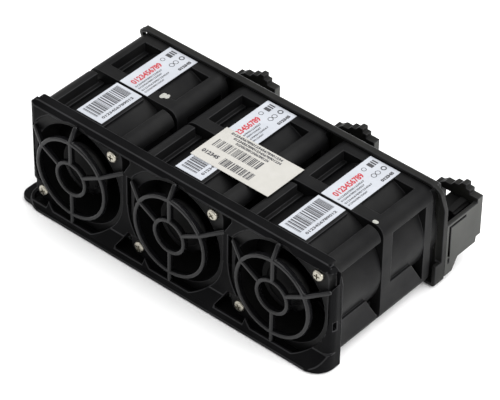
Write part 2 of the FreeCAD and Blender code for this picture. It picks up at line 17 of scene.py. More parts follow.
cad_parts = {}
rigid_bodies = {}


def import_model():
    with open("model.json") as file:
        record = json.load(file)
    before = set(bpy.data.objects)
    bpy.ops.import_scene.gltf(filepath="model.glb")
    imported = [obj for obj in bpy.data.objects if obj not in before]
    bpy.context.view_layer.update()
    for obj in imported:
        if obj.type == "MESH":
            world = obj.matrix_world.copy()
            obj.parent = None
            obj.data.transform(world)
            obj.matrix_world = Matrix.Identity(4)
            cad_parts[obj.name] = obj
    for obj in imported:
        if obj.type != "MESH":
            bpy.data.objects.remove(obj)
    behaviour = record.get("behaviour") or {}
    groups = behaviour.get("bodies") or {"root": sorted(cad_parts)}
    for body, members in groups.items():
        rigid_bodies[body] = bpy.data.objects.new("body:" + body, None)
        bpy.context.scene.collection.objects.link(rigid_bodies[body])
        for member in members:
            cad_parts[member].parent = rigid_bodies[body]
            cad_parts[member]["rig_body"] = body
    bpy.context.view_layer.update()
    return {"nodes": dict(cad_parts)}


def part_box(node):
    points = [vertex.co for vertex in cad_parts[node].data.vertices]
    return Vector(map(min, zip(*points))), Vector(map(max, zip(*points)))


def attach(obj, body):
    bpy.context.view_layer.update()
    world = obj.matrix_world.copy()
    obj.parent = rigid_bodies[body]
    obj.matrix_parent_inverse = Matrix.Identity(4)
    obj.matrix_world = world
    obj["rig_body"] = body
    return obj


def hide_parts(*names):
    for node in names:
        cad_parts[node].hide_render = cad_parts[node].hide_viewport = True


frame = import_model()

MM = 0.001
fan_names = ["left", "middle", "right"]

# %% [markdown]
# ## Sizes that the whole lesson uses
# A maker reads sizes off the parts in the hand. Here the boxes of the CAD nodes give them, so nothing
# is typed twice. A fan's axis is the middle of its impeller, and its top is the underside of its label.
# The joint is where a fan's front and rear housings meet.

# %% Measure the fans
def middle(node):
    """Middle of a CAD node's box."""
    low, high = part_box(node)
    return (low + high) / 2


fan_x = {name: middle(f"{name}_front_impeller").x for name in fan_names}
axis_z = middle("middle_front_impeller").z
fan_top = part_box("middle_front_label")[0].z
fan_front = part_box("front_housings")[0].y
joint_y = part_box("rear_housings")[0].y
print("fan axes in mm: height", round(axis_z / MM, 2), "and X", [round(x / MM, 2) for x in fan_x.values()])

# %% [markdown]
# ## Colours and shader nodes
# Colours are picked as sRGB hex values, as on a screen, but shaders take linear light. One function
# turns one into the other. One more adds a shader node with its settings, plain values and links, so
# that each material below, and the world, reads as a short list of nodes. Every material starts from one
# plain surface.

# %% Helpers for materials
def linear(hex_colour):
    """sRGB hex colour as the linear RGBA that a shader takes."""
    channels = [int(hex_colour[i:i + 2], 16) / 255 for i in (1, 3, 5)]
    return [c / 12.92 if c <= 0.04045 else ((c + 0.055) / 1.055) ** 2.4 for c in channels] + [1.0]


def connect(owner, source, output, target, socket):
    """Link from one node's output to another's socket, in a material or the world."""
    owner.node_tree.links.new(source.outputs[output], target.inputs[socket])


def add_node(owner, kind, values=(), links=(), **settings):
    """Shader node with its settings, its sockets' plain values, and its links from other nodes."""
    node = owner.node_tree.nodes.new(kind)
    for name, value in settings.items():
        setattr(node, name, value)
    for socket, value in dict(values).items():
        node.inputs[socket].default_value = value
    for socket, (source, output) in dict(links).items():
        connect(owner, source, output, node, socket)
    return node


def plain_surface(name, hex_colour, roughness, metallic=0.0, specular=0.5):
    """New material with its Principled shader set to one colour; returns both."""
    material = bpy.data.materials.new(name)
    material.use_nodes = True
    shader = material.node_tree.nodes["Principled BSDF"]
    shader.inputs["Base Color"].default_value = linear(hex_colour)
    shader.inputs["Roughness"].default_value = roughness
    shader.inputs["Metallic"].default_value = metallic
    shader.inputs["Specular IOR Level"].default_value = specular
    return material, shader


print("the darkest black used, as linear light:", round(linear("#020202")[0], 5))

# %% [markdown]
# ## Moulded black plastic
# The frames, housings and blades are injection moulded, in black plastic. The mould is spark eroded, so
# the skin has a fine even grain that scatters light: semi-matt, with a soft highlight. The real grain is
# about 0.05 mm wide, too fine to show, so it is drawn coarser. Handling leaves cloudy patches a little
# shinier. A typical plastic has a specular level of 0.5. In a studio this white, that much sheen would
# turn deep black to grey, so each level is set much lower, until the tone is right. Under darker
# surroundings it could be raised. One function makes them all from the widths of grain and patches.

# %% Moulded plastics
patch_mm = 14


def moulded_plastic(name, dark, pale, roughness, grain_mm, grain_depth_mm, specular=0.06):
    """Spark-eroded moulding: even grain, faint cloudy patches and slight changes of gloss."""
    material, shader = plain_surface(name, dark, roughness, specular=specular)
    place = add_node(material, "ShaderNodeTexCoord")
    grain = add_node(material, "ShaderNodeTexNoise", {"Scale": 1 / (grain_mm * MM), "Detail": 3.0},
                     {"Vector": (place, "Object")})
    clouds = add_node(material, "ShaderNodeTexNoise", {"Scale": 1 / (patch_mm * MM), "Detail": 4.0},
                      {"Vector": (place, "Object")})
    tint = add_node(material, "ShaderNodeMapRange", {"From Min": 0.35, "From Max": 0.7},
                    {"Value": (clouds, "Fac")})
    colour = add_node(material, "ShaderNodeMix", {"A": linear(dark), "B": linear(pale)},
                      {"Factor": (tint, "Result")}, data_type="RGBA")
    rough_to_shiny = {"From Min": 0.3, "From Max": 0.7,
                      "To Min": roughness + 0.08, "To Max": roughness - 0.06}
    gloss = add_node(material, "ShaderNodeMapRange", rough_to_shiny, {"Value": (clouds, "Fac")})
    bump = add_node(material, "ShaderNodeBump", {"Strength": 0.5, "Distance": grain_depth_mm * MM},
                    {"Height": (grain, "Fac")})
    connect(material, colour, "Result", shader, "Base Color")
    connect(material, gloss, "Result", shader, "Roughness")
    connect(material, bump, "Normal", shader, "Normal")
    return material


# Black ABS straight from the mould: nearly black, with hardly any sheen.
frame_plastic = moulded_plastic("spark_eroded_black_abs", "#070708", "#0f0f10", roughness=0.42,
                                grain_mm=0.3, grain_depth_mm=0.02, specular=0.03)
# Every round is painted a paler grey that shines a little: a painted highlight along the edges.
painted_edge_highlight = moulded_plastic("black_abs_edge_with_painted_highlight", "#1a1a1b", "#242426", roughness=0.36,
                             grain_mm=0.3, grain_depth_mm=0.01, specular=0.15)
# The guards' bars lie in a polished part of the mould: smooth, with thin bright highlights.
guard_plastic = moulded_plastic("polished_black_guard_bars", "#0c0c0d", "#131315", roughness=0.22,
                                grain_mm=0.4, grain_depth_mm=0.006, specular=0.22)
# Polycarbonate of the rear frame: a warmer and paler black than the front frame's.
rear_plastic = moulded_plastic("moulded_black_polycarbonate", "#171716", "#21211f", roughness=0.46,
                               grain_mm=0.35, grain_depth_mm=0.02, specular=0.1)
# Short glass fibres in the fan housings' nylon dull it and give it a coarser skin.
housing_plastic = moulded_plastic("glass_filled_black_nylon", "#0e0e0f", "#181818", roughness=0.44,
                                  grain_mm=0.4, grain_depth_mm=0.03, specular=0.08)
# Wheels come from a smooth mould, so that air slips past. Black plastic, darkened as painted shade.
impeller_plastic = moulded_plastic("smooth_black_impeller_plastic_darkened_by_painted_shade", "#020202", "#050506", roughness=0.3,
                                   grain_mm=0.25, grain_depth_mm=0.008, specular=0.05)
# The outer wall of a shroud faces the right lamp. It is smoother, and its paler grey is painted light.
shroud_wall_painted_light = moulded_plastic("shroud_wall_with_painted_light", "#292a27", "#31322e", roughness=0.34,
                              grain_mm=0.35, grain_depth_mm=0.01, specular=0.2)
# Small nylon plugs are matt.
plug_plastic = moulded_plastic("black_nylon_plug", "#0c0c0c", "#161616", roughness=0.48,
                               grain_mm=0.3, grain_depth_mm=0.015)
# A vent's hole is not cut: a flat disc of the darkest, dullest black stands for it, as painted shade.
shadow_black = moulded_plastic("painted_shade_of_mould_vent", "#020202", "#040404", roughness=0.8,
                               grain_mm=0.3, grain_depth_mm=0.01, specular=0.02)
print("moulded plastics:", len(bpy.data.materials))

# %% [markdown]
# ## Plated and worked metals
# The screws are zinc plated, the shafts are ground, the pins are tinned brass and the stators are
# stamped steel sheet. A metal's colour is its reflection, so the base colour is pale and the metallic
# value is 1, with the default IOR. The marks that working leaves are a noise as wide as they are. The
# magnets and boards aren't bare metal. They are as even as a moulding, so the mouldings' function makes
# them.

# %% Metals, magnets and boards
def worked_metal(name, hex_colour, roughness, mark_mm, mark_depth_mm):
    """Metal with fine marks of its working, in a noise as wide as the marks."""
    material, shader = plain_surface(name, hex_colour, roughness, metallic=1.0)
    place = add_node(material, "ShaderNodeTexCoord")
    marks = add_node(material, "ShaderNodeTexNoise", {"Scale": 1 / (mark_mm * MM), "Detail": 5.0},
                     {"Vector": (place, "Object")})
    shiny_to_rough = {"From Min": 0.3, "From Max": 0.7,
                      "To Min": roughness - 0.08, "To Max": roughness + 0.12}
    gloss = add_node(material, "ShaderNodeMapRange", shiny_to_rough, {"Value": (marks, "Fac")})
    bump = add_node(material, "ShaderNodeBump", {"Strength": 0.35, "Distance": mark_depth_mm * MM},
                    {"Height": (marks, "Fac")})
    connect(material, gloss, "Result", shader, "Roughness")
    connect(material, bump, "Normal", shader, "Normal")
    return material


# Bright zinc over steel: a warm pale grey that catches the lamps.
screw_zinc = worked_metal("bright_zinc_plated_steel", "#aba79b", roughness=0.28,
                          mark_mm=0.5, mark_depth_mm=0.02)
# A ground shaft has fine marks and mirrors well.
shaft_steel = worked_metal("ground_shaft_steel", "#b9bbbf", roughness=0.22, mark_mm=0.2, mark_depth_mm=0.005)
# Brass pins with a thin coat of tin: pale, with a little yellow.
pin_brass = worked_metal("tinned_brass", "#c9b27c", roughness=0.3, mark_mm=0.3, mark_depth_mm=0.005)
# Stamped core steel is grey and dull from its oxide.
core_steel = worked_metal("stamped_core_steel", "#7f8286", roughness=0.45, mark_mm=0.4, mark_depth_mm=0.02)
# Ferrite powder bound in plastic is matt and charcoal grey.
magnet_ferrite = moulded_plastic("bonded_ferrite", "#2c2a29", "#363433", roughness=0.7,
                                 grain_mm=0.2, grain_depth_mm=0.01)
# Solder lacquer is a glossy dark green.
board_lacquer = moulded_plastic("green_solder_lacquer", "#0f3a22", "#15492b", roughness=0.3,
                                grain_mm=0.5, grain_depth_mm=0.005)
print("plastics and metals:", len(bpy.data.materials))

# %% [markdown]
# ## Labels
# The fans' labels are silvery white film with a satin face. The asset label is cream paper. Both have a
# faint unevenness where the glue below isn't flat. Print is ink: flat black, with one dark red.

# %% Film, paper and ink
def sheet_stock(name, hex_colour, shade, roughness, wave_mm, wave_depth_mm):
    """Label stock: a plain colour that clouds a little, with slow waves from the glue below."""
    material, shader = plain_surface(name, hex_colour, roughness)
    place = add_node(material, "ShaderNodeTexCoord")
    waves = add_node(material, "ShaderNodeTexNoise", {"Scale": 1 / (wave_mm * MM), "Detail": 2.0},
                     {"Vector": (place, "Object")})
    colour = add_node(material, "ShaderNodeMix", {"A": linear(hex_colour), "B": linear(shade)},
                      {"Factor": (waves, "Fac")}, data_type="RGBA")
    bump = add_node(material, "ShaderNodeBump", {"Strength": 0.4, "Distance": wave_depth_mm * MM},
                    {"Height": (waves, "Fac")})
    connect(material, colour, "Result", shader, "Base Color")
    connect(material, bump, "Normal", shader, "Normal")
    return material


# Polyester film with a silvery white coat: satin, and cool in tone.
film = sheet_stock("silvery_white_polyester_film", "#b9bcc2", "#a5a9b0", roughness=0.34,
                   wave_mm=6.0, wave_depth_mm=0.05)
# Uncoated paper: cream, with hardly any shine.
paper = sheet_stock("cream_label_paper", "#b5b3ae", "#a8a6a0", roughness=0.6,
                    wave_mm=4.0, wave_depth_mm=0.04)
# Printed inks lie flat and dry nearly matt.
black_ink = sheet_stock("flat_black_ink", "#2a2a2e", "#3a3a3e", roughness=0.5,
                        wave_mm=0.4, wave_depth_mm=0.01)
red_ink = sheet_stock("dark_red_ink", "#b0303a", "#a02832", roughness=0.5,
                      wave_mm=0.4, wave_depth_mm=0.01)
# Paint dabbed on by hand is thin in places, where the black below greys it.
white_paint = sheet_stock("dabbed_white_paint", "#b6b6b0", "#85857e", roughness=0.45,
                          wave_mm=0.8, wave_depth_mm=0.05)
print("materials in all:", len(bpy.data.materials))

# %% [markdown]
# ## From CAD mesh to finished moulding
# A CAD node has knife-sharp edges. A real moulding has a small round on each edge, which catches the
# light as a thin line. Rounding every edge would break the narrow steps, so an edge is rounded only
# where both its faces are wide enough. A bevel weight marks those edges for the Bevel modifier.

# %% Choose the edges that get a round
room_for_round = 2.2
sharp_angle = math.radians(32)


def only(piece):
    """Make a piece the one selected and active object."""
    bpy.ops.object.select_all(action="DESELECT")
    piece.select_set(True)
    bpy.context.view_layer.objects.active = piece


def coat(piece, materials):
    """Give a piece these materials in place of its own."""
    piece.data.materials.clear()
    for material in materials:
        piece.data.materials.append(material)


def mark_roundable_edges(mesh, width):
    """Give a bevel weight to the sharp edges whose two faces are wide enough for the round."""
    weights = mesh.attributes.new("bevel_weight_edge", "FLOAT", "EDGE")
    faces_of = [[] for _ in mesh.edges]
    for face in mesh.polygons:
        for loop in face.loop_indices:
            faces_of[mesh.loops[loop].edge_index].append(face)
    count = 0
    for edge, faces in zip(mesh.edges, faces_of):
        if len(faces) != 2:
            continue
        start, end = (mesh.vertices[i].co for i in edge.vertices)
        length = (end - start).length
        roomy = all(face.area > room_for_round * width * length for face in faces)
        if roomy and faces[0].normal.angle(faces[1].normal, 0) > sharp_angle:
            weights.data[edge.index].value = 1.0
            count += 1
    return count

# %% [markdown]
# ## Mending after the rounds
# Where edges meet at a slant, the Bevel modifier can push a point past its corner, as a thin spike. Its
# own clamp would take the round off all the other edges too. So each point that ends up further from the
# CAD surface than half the round's width is put back on it. Points that then coincide are merged, and all
# faces are turned outwards.

# %% Two mends for a rounded mesh
stray_share = 0.5


def pull_back_strays(mesh, node, width):
    """Put each point that a round pushed past its corner back on the CAD surface and in its box."""
    cad_mesh = frame["nodes"][node].data
    low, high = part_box(node)
    surface = BVHTree.FromPolygons([vertex.co for vertex in cad_mesh.vertices],
                                   [face.vertices for face in cad_mesh.polygons])
    strays = 0
    for vertex in mesh.vertices:
        place, _, _, distance = surface.find_nearest(vertex.co)
        if distance > stray_share * width:
            vertex.co = place
            strays += 1
        vertex.co = [min(max(value, least), most) for value, least, most in zip(vertex.co, low, high)]
    return strays


def merge_points(piece, distance):
    """Merge points that lie closer than a distance, drop faces without area, and face all outwards."""
    only(piece)
    bpy.ops.object.mode_set(mode="EDIT")
    bpy.ops.mesh.select_all(action="SELECT")
    bpy.ops.mesh.remove_doubles(threshold=distance)
    bpy.ops.mesh.dissolve_degenerate(threshold=distance)
    bpy.ops.mesh.select_all(action="SELECT")
    bpy.ops.mesh.normals_make_consistent(inside=False)
    bpy.ops.object.mode_set(mode="OBJECT")

# %% [markdown]
# ## A finished copy of a CAD node
# The node's mesh is loose triangles and stays as it is. A copy is merged, and its flat triangles are
# dissolved into whole faces. Then it gets its rounds, whose faces take the last of the materials: a
# paler plastic, which paints a highlight along the edges. Weighted normals keep the large faces flat to
# the light. The copy rides with the node's body and stands for the node in the picture.

# %% Make a finished copy
merge_distance = 0.002 * MM
flat_angle = math.radians(0.6)
smooth_angle = math.radians(35)


def finished_copy(node, name, materials, width_mm):
    """Merged copy of a CAD node with rounded edges, which stands for the node in the picture."""
    piece = bpy.data.objects.new(name, frame["nodes"][node].data.copy())
    bpy.context.scene.collection.objects.link(piece)
    only(piece)
    bpy.ops.object.mode_set(mode="EDIT")
    bpy.ops.mesh.select_all(action="SELECT")
    bpy.ops.mesh.remove_doubles(threshold=merge_distance)
    bpy.ops.mesh.dissolve_limited(angle_limit=flat_angle)
    bpy.ops.mesh.select_all(action="SELECT")
    bpy.ops.mesh.normals_make_consistent(inside=False)
    bpy.ops.object.mode_set(mode="OBJECT")
    coat(piece, materials)
    rounded = mark_roundable_edges(piece.data, width_mm * MM)
    bevel = piece.modifiers.new("rounded edges", "BEVEL")
    bevel.width = width_mm * MM
    bevel.segments = 2
    bevel.limit_method = "WEIGHT"
    bevel.use_clamp_overlap = False
    # The rounds take the last material, whose paler grey is a painted edge highlight.
    bevel.material = len(materials) - 1
    bpy.ops.object.modifier_apply(modifier=bevel.name)
    strays = pull_back_strays(piece.data, node, width_mm * MM)
    merge_points(piece, 2 * merge_distance)
    bpy.ops.object.shade_smooth_by_angle(angle=smooth_angle)
    flat = piece.modifiers.new("flat faces stay flat", "WEIGHTED_NORMAL")
    flat.keep_sharp = True
    bpy.ops.object.modifier_apply(modifier=flat.name)
    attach(piece, frame["nodes"][node]["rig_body"])
    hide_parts(node)
    print(f"{name}: {rounded} rounded edges, {len(piece.data.polygons)} faces, {strays} strays put back")
    return piece

# %% [markdown]
# ## The mouldings
# Frames have rounds of 0.3 mm and housings, which are finer, 0.2 mm. A guard's bars are round wires in
# the eye, so they get the widest round for their size. A shroud's outer wall takes a paler satin grey, which
# is painted light.

# %% Finished copies of frames, housings, guards, shrouds and plugs
wall_margin = 0.05 * MM
finished_copy("front_frame", "front_moulding", [frame_plastic, painted_edge_highlight], 0.3)
finished_copy("rear_frame", "rear_moulding", [rear_plastic, painted_edge_highlight], 0.3)
finished_copy("front_housings", "front_fan_housings", [housing_plastic, painted_edge_highlight], 0.2)
finished_copy("rear_housings", "rear_fan_housings", [housing_plastic, painted_edge_highlight], 0.2)
for name in fan_names:
    finished_copy(f"{name}_finger_guard", f"{name}_guard", [guard_plastic], 0.5)
    shroud = finished_copy(f"{name}_shroud", f"{name}_connector_shroud",
                           [rear_plastic, painted_edge_highlight], 0.25)
    shroud.data.materials.append(shroud_wall_painted_light)
    # The wall facing +X, towards the right lamp, is painted paler: painted light on that side.
    wall_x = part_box(f"{name}_shroud")[1].x - wall_margin
    for face in shroud.data.polygons:
        if face.normal.x > 0.95 and face.center.x > wall_x:
            face.material_index = len(shroud.data.materials) - 1
    finished_copy(f"{name}_plug", f"{name}_wire_plug", [plug_plastic], 0.15)

# %% [markdown]
# ## Small steps of modelling
# Modelling by hand repeats a few steps: picking faces or points by their place, baking a move into the
# mesh, copying a finished piece, joining pieces, and cutting one with another. Each is a short helper,
# so that the cells below read as the steps that a modeller takes.

# %% Helpers for modelling
def select_where(piece, test, kind="VERT"):
    """In Edit Mode, select the vertices or faces of a piece whose centre passes the test."""
    bpy.ops.mesh.select_mode(type=kind)
    bpy.ops.mesh.select_all(action="DESELECT")
    bpy.ops.object.mode_set(mode="OBJECT")
    if kind == "FACE":
        for face in piece.data.polygons:
            face.select = test(face)
    else:
        for vertex in piece.data.vertices:
            vertex.select = test(vertex.co)
    bpy.ops.object.mode_set(mode="EDIT")


def place_mesh(piece, matrix):
    """Bake a place and turn into a piece's mesh, so that the object stays at the world origin."""
    piece.data.transform(matrix @ piece.matrix_world)
    piece.matrix_world = Matrix.Identity(4)


def own_copy(piece, name, matrix):
    """Copy of a finished piece with its own mesh, moved by a matrix."""
    copy = bpy.data.objects.new(name, piece.data.copy())
    bpy.context.scene.collection.objects.link(copy)
    copy.data.transform(matrix)
    if matrix.determinant() < 0:
        copy.data.flip_normals()
    return copy


def joined(pieces, name):
    """Several pieces as one, named."""
    bpy.context.view_layer.update()
    bpy.ops.object.select_all(action="DESELECT")
    for piece in pieces:
        piece.select_set(True)
    bpy.context.view_layer.objects.active = pieces[0]
    if len(pieces) > 1:
        bpy.ops.object.join()
    pieces[0].name = name
    return pieces[0]


def cut_by(piece, cutter, operation="DIFFERENCE"):
    """Boolean one piece with another, which is then used up."""
    boolean = piece.modifiers.new("cut", "BOOLEAN")
    boolean.operation = operation
    boolean.object = cutter
    boolean.solver = "EXACT"
    only(piece)
    bpy.ops.object.modifier_apply(modifier=boolean.name)
    bpy.data.objects.remove(cutter, do_unlink=True)

# %% [markdown]
# ## A screw
# A pan-head screw is forged: a low dome with a cross recess, over a plain shank. The head starts as a
# short cylinder along Z, whose underside is inset and pulled out into the shank. Its upper rim is
# bevelled until it is a dome, and two crossed bars cut the recess.

# %% One pan-head screw
small_piece_smooth_angle = math.radians(38)
head_radius, head_height, dome_round = 2.1 * MM, 1.3 * MM, 0.85 * MM
shank_radius, shank_length = 1.1 * MM, 7.0 * MM
recess_length, recess_width, recess_depth = 2.3 * MM, 0.55 * MM, 1.2 * MM


def pan_head_screw():
    """Domed head from z = 0 to the head's height, shank below, cross recess in the top."""
    bpy.ops.object.select_all(action="DESELECT")
    bpy.ops.mesh.primitive_cylinder_add(vertices=40, radius=head_radius, depth=head_height,
                                        location=(0, 0, head_height / 2))
    screw = bpy.context.object
    place_mesh(screw, Matrix.Identity(4))
    only(screw)
    bpy.ops.object.mode_set(mode="EDIT")
    select_where(screw, lambda face: face.normal.z < -0.9, "FACE")
    bpy.ops.mesh.inset(thickness=head_radius - shank_radius)
    bpy.ops.mesh.extrude_region_move(TRANSFORM_OT_translate={"value": (0, 0, -shank_length)})
    select_where(screw, lambda face: face.normal.z > 0.9, "FACE")
    bpy.ops.mesh.region_to_loop()
    bpy.ops.mesh.bevel(offset=dome_round, offset_type="OFFSET", segments=6, profile=0.55)
    bpy.ops.object.mode_set(mode="OBJECT")
    for turn in (0, 90):
        bpy.ops.mesh.primitive_cube_add(size=1, location=(0, 0, 0))
        bar = bpy.context.object
        size = Matrix.Diagonal((recess_length, recess_width, recess_depth, 1))
        around = Matrix.Rotation(math.radians(turn), 4, "Z")
        place_mesh(bar, Matrix.Translation((0, 0, head_height)) @ around @ size)
        cut_by(screw, bar)
    bpy.ops.object.shade_smooth_by_angle(angle=small_piece_smooth_angle)
    coat(screw, [screw_zinc])
    return screw


first_screw = pan_head_screw()
print("one screw:", len(first_screw.data.polygons), "faces")

# %% [markdown]
# ## The six screws
# Each fan is held at two opposite corners. The box of the CAD node's plain screws gives their distance
# from the fan's axis. The one screw is copied there, each copy turned as its driver left it, and the
# copies are joined.

# %% Six screws in place of the plain ones
driver_turn = 23
screw_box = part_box("front_screws")
screw_offset = screw_box[1].x - fan_x["right"] - head_radius
facing_front = Matrix.Rotation(math.radians(90), 4, "X")
screws = []
for name in fan_names:
    for side in (1, -1):
        corner = Vector((fan_x[name] + side * screw_offset, fan_front, axis_z + side * screw_offset))
        turn = Matrix.Rotation(math.radians(driver_turn * len(screws)), 4, "Z")
        screws.append(own_copy(first_screw, "screw", Matrix.Translation(corner) @ facing_front @ turn))
bpy.data.objects.remove(first_screw, do_unlink=True)
front_screws = joined(screws, "pan_head_screws")
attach(front_screws, frame["nodes"]["front_screws"]["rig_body"])
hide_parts("front_screws")
print("screws:", len(screws), "at", round(screw_offset / MM, 2), "mm from each fan's axis")

# %% [markdown]
# ## A blade
# The blades of a fan are twisted: steep at the hub, where they move slowly, and flatter at the tip. A
# blade starts as a flat grid that stands on the hub along Z, and the air goes along Y. Its columns are
# bowed into the camber. Each row is stretched to the chord at its radius and turned to its own pitch.
# Solidify gives it thickness, and a bevel rounds its rim.

# %% One blade
blade_rows, blade_columns = 7, 9
blade_camber, blade_thickness, blade_rim_round = 1.6 * MM, 1.0 * MM, 0.35 * MM
pick_margin = 0.05
root_chord_mm, tip_chord_mm = 11.0, 14.0
root_pitch, tip_pitch = 48.0, 30.0


def twisted_blade(root_radius, tip_radius):
    """Cambered and twisted sheet between two radii: the pitch falls and the chord grows outwards."""
    bpy.ops.object.select_all(action="DESELECT")
    bpy.ops.mesh.primitive_grid_add(x_subdivisions=blade_columns - 1, y_subdivisions=blade_rows - 1, size=1)
    blade = bpy.context.object
    span = tip_radius - root_radius
    upright = Matrix.Diagonal((1, 1, span, 1)) @ Matrix.Rotation(math.radians(90), 4, "X")
    place_mesh(blade, Matrix.Translation((0, 0, root_radius + span / 2)) @ upright)
    only(blade)
    bpy.ops.object.mode_set(mode="EDIT")
    for column in range(blade_columns):
        along = column / (blade_columns - 1) - 0.5
        select_where(blade, lambda co: abs(co.x - along) < pick_margin)
        bpy.ops.transform.translate(value=(0, blade_camber * (1 - (2 * along) ** 2), 0))
    for row in range(blade_rows):
        out = row / (blade_rows - 1)
        select_where(blade, lambda co: abs(co.z - root_radius - span * out) < pick_margin * span)
        chord = (root_chord_mm + (tip_chord_mm - root_chord_mm) * out) * MM
        pitch = root_pitch + (tip_pitch - root_pitch) * out
        bpy.ops.transform.resize(value=(chord, 1, 1), center_override=(0, 0, 0))
        bpy.ops.transform.rotate(value=math.radians(pitch), orient_axis="Z", center_override=(0, 0, 0))
    bpy.ops.object.mode_set(mode="OBJECT")
    sheet = blade.modifiers.new("thickness", "SOLIDIFY")
    sheet.thickness = blade_thickness
    sheet.offset = 0
    rim = blade.modifiers.new("rounded rim", "BEVEL")
    rim.width = blade_rim_round
    rim.segments = 2
    rim.angle_limit = math.radians(50)
    for modifier in (sheet, rim):
        bpy.ops.object.modifier_apply(modifier=modifier.name)
    return blade

# %% [markdown]
# ## The hub
# A hub is a cup that fits over the motor: a thin wall, a cap with a shallow dish and a rounded rim, and
# a boss for the shaft inside. A cylinder's underside is inset and pushed up to hollow it, and inset
# again and pulled back down for the boss. The cap's rim is bevelled, and its face is inset twice.

# %% The hub cup, open at z = 0
hub_wall, hub_cap, hub_rim_round = 1.3 * MM, 1.5 * MM, 0.9 * MM
boss_radius, boss_length = 2.5 * MM, 2.5 * MM
dish_margin, dish_depth = 1.6 * MM, 0.3 * MM


def hub_cup(radius, length):
    """Cup with a wall, a boss for the shaft, a rounded rim and a shallow dish in its cap."""
    bpy.ops.object.select_all(action="DESELECT")
    bpy.ops.mesh.primitive_cylinder_add(vertices=64, radius=radius, depth=length, location=(0, 0, length / 2))
    hub = bpy.context.object
    place_mesh(hub, Matrix.Identity(4))
    only(hub)
    bpy.ops.object.mode_set(mode="EDIT")
    select_where(hub, lambda face: face.normal.z < -0.9, "FACE")
    bpy.ops.mesh.inset(thickness=hub_wall)
    bpy.ops.mesh.extrude_region_move(TRANSFORM_OT_translate={"value": (0, 0, length - hub_cap)})
    bpy.ops.mesh.inset(thickness=radius - hub_wall - boss_radius)
    bpy.ops.mesh.extrude_region_move(TRANSFORM_OT_translate={"value": (0, 0, -boss_length)})
    select_where(hub, lambda face: face.normal.z > 0.9 and face.center.z > 0.99 * length, "FACE")
    bpy.ops.mesh.region_to_loop()
    bpy.ops.mesh.bevel(offset=hub_rim_round, offset_type="OFFSET", segments=5)
    select_where(hub, lambda face: face.normal.z > 0.99 and face.center.z > 0.99 * length, "FACE")
    bpy.ops.mesh.inset(thickness=dish_margin)
    bpy.ops.mesh.inset(thickness=dish_depth, depth=-dish_depth)
    bpy.ops.object.mode_set(mode="OBJECT")
    return hub

# %% [markdown]
# ## A wheel
# A wheel is moulded in one piece: five blades round the hub. A blade's root is sunk a little into the
# hub, and its tip is made too long and trimmed on a cylinder, as round as the housing's bore. It is
# then copied round the axis, which is Y, and the cap faces +Y.

# %% One whole wheel
blade_count = 5
hub_radius, tip_radius = 10.2 * MM, 18.3 * MM
root_sink, tip_waste = 0.6 * MM, 1.2 * MM


def impeller_wheel(length):
    """Hub and blades about the Y axis, with the middle of the hub at the origin."""
    hub = hub_cup(hub_radius, length)
    along_y = Matrix.Rotation(math.radians(-90), 4, "X")
    place_mesh(hub, Matrix.Translation((0, -length / 2, 0)) @ along_y)
    blade = twisted_blade(hub_radius - root_sink, tip_radius + tip_waste)
    bpy.ops.mesh.primitive_cylinder_add(vertices=96, radius=tip_radius, depth=2 * length)
    trimmer = bpy.context.object
    place_mesh(trimmer, along_y)
    cut_by(blade, trimmer, "INTERSECT")
    blades = [own_copy(blade, "blade", Matrix.Rotation(math.radians(360 / blade_count * i), 4, "Y"))
              for i in range(blade_count)]
    bpy.data.objects.remove(blade, do_unlink=True)
    wheel = joined([hub] + blades, "wheel")
    coat(wheel, [impeller_plastic])
    only(wheel)
    bpy.ops.object.shade_smooth_by_angle(angle=small_piece_smooth_angle)
    return wheel

# %% [markdown]
# ## The six wheels
# A fan's two wheels turn opposite ways and push air the same way, so the front one is the mirror image
# of the rear one. One wheel is made for each half, as long as its CAD node, and copied to the fans.

# %% Front and rear wheels of the three fans
for half, mirror in (("front", Matrix.Diagonal((1, -1, 1, 1))), ("rear", Matrix.Identity(4))):
    low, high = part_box(f"middle_{half}_impeller")
    wheel = impeller_wheel(high.y - low.y)
    for name in fan_names:
        node = f"{name}_{half}_impeller"
        place = Matrix.Translation((fan_x[name], (low.y + high.y) / 2, axis_z))
        impeller = own_copy(wheel, f"{name}_{half}_wheel", place @ mirror)
        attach(impeller, frame["nodes"][node]["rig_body"])
        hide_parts(node)
    print(half, "wheel:", len(wheel.data.polygons), "faces")
    bpy.data.objects.remove(wheel, do_unlink=True)

# %% [markdown]
# ## Print on the labels
# A label is printed in ink: the bars of a barcode, rows of figures, and rings. Each is a thin raised
# sheet of ink over the label. Places on a label are given in parts of its width and length, so the
# print follows the label's size. The figures only count up, and say nothing.

# %% Bars, rings and figures of ink
ink_height = 0.02 * MM
bar_widths = (1, 1, 2, 3)


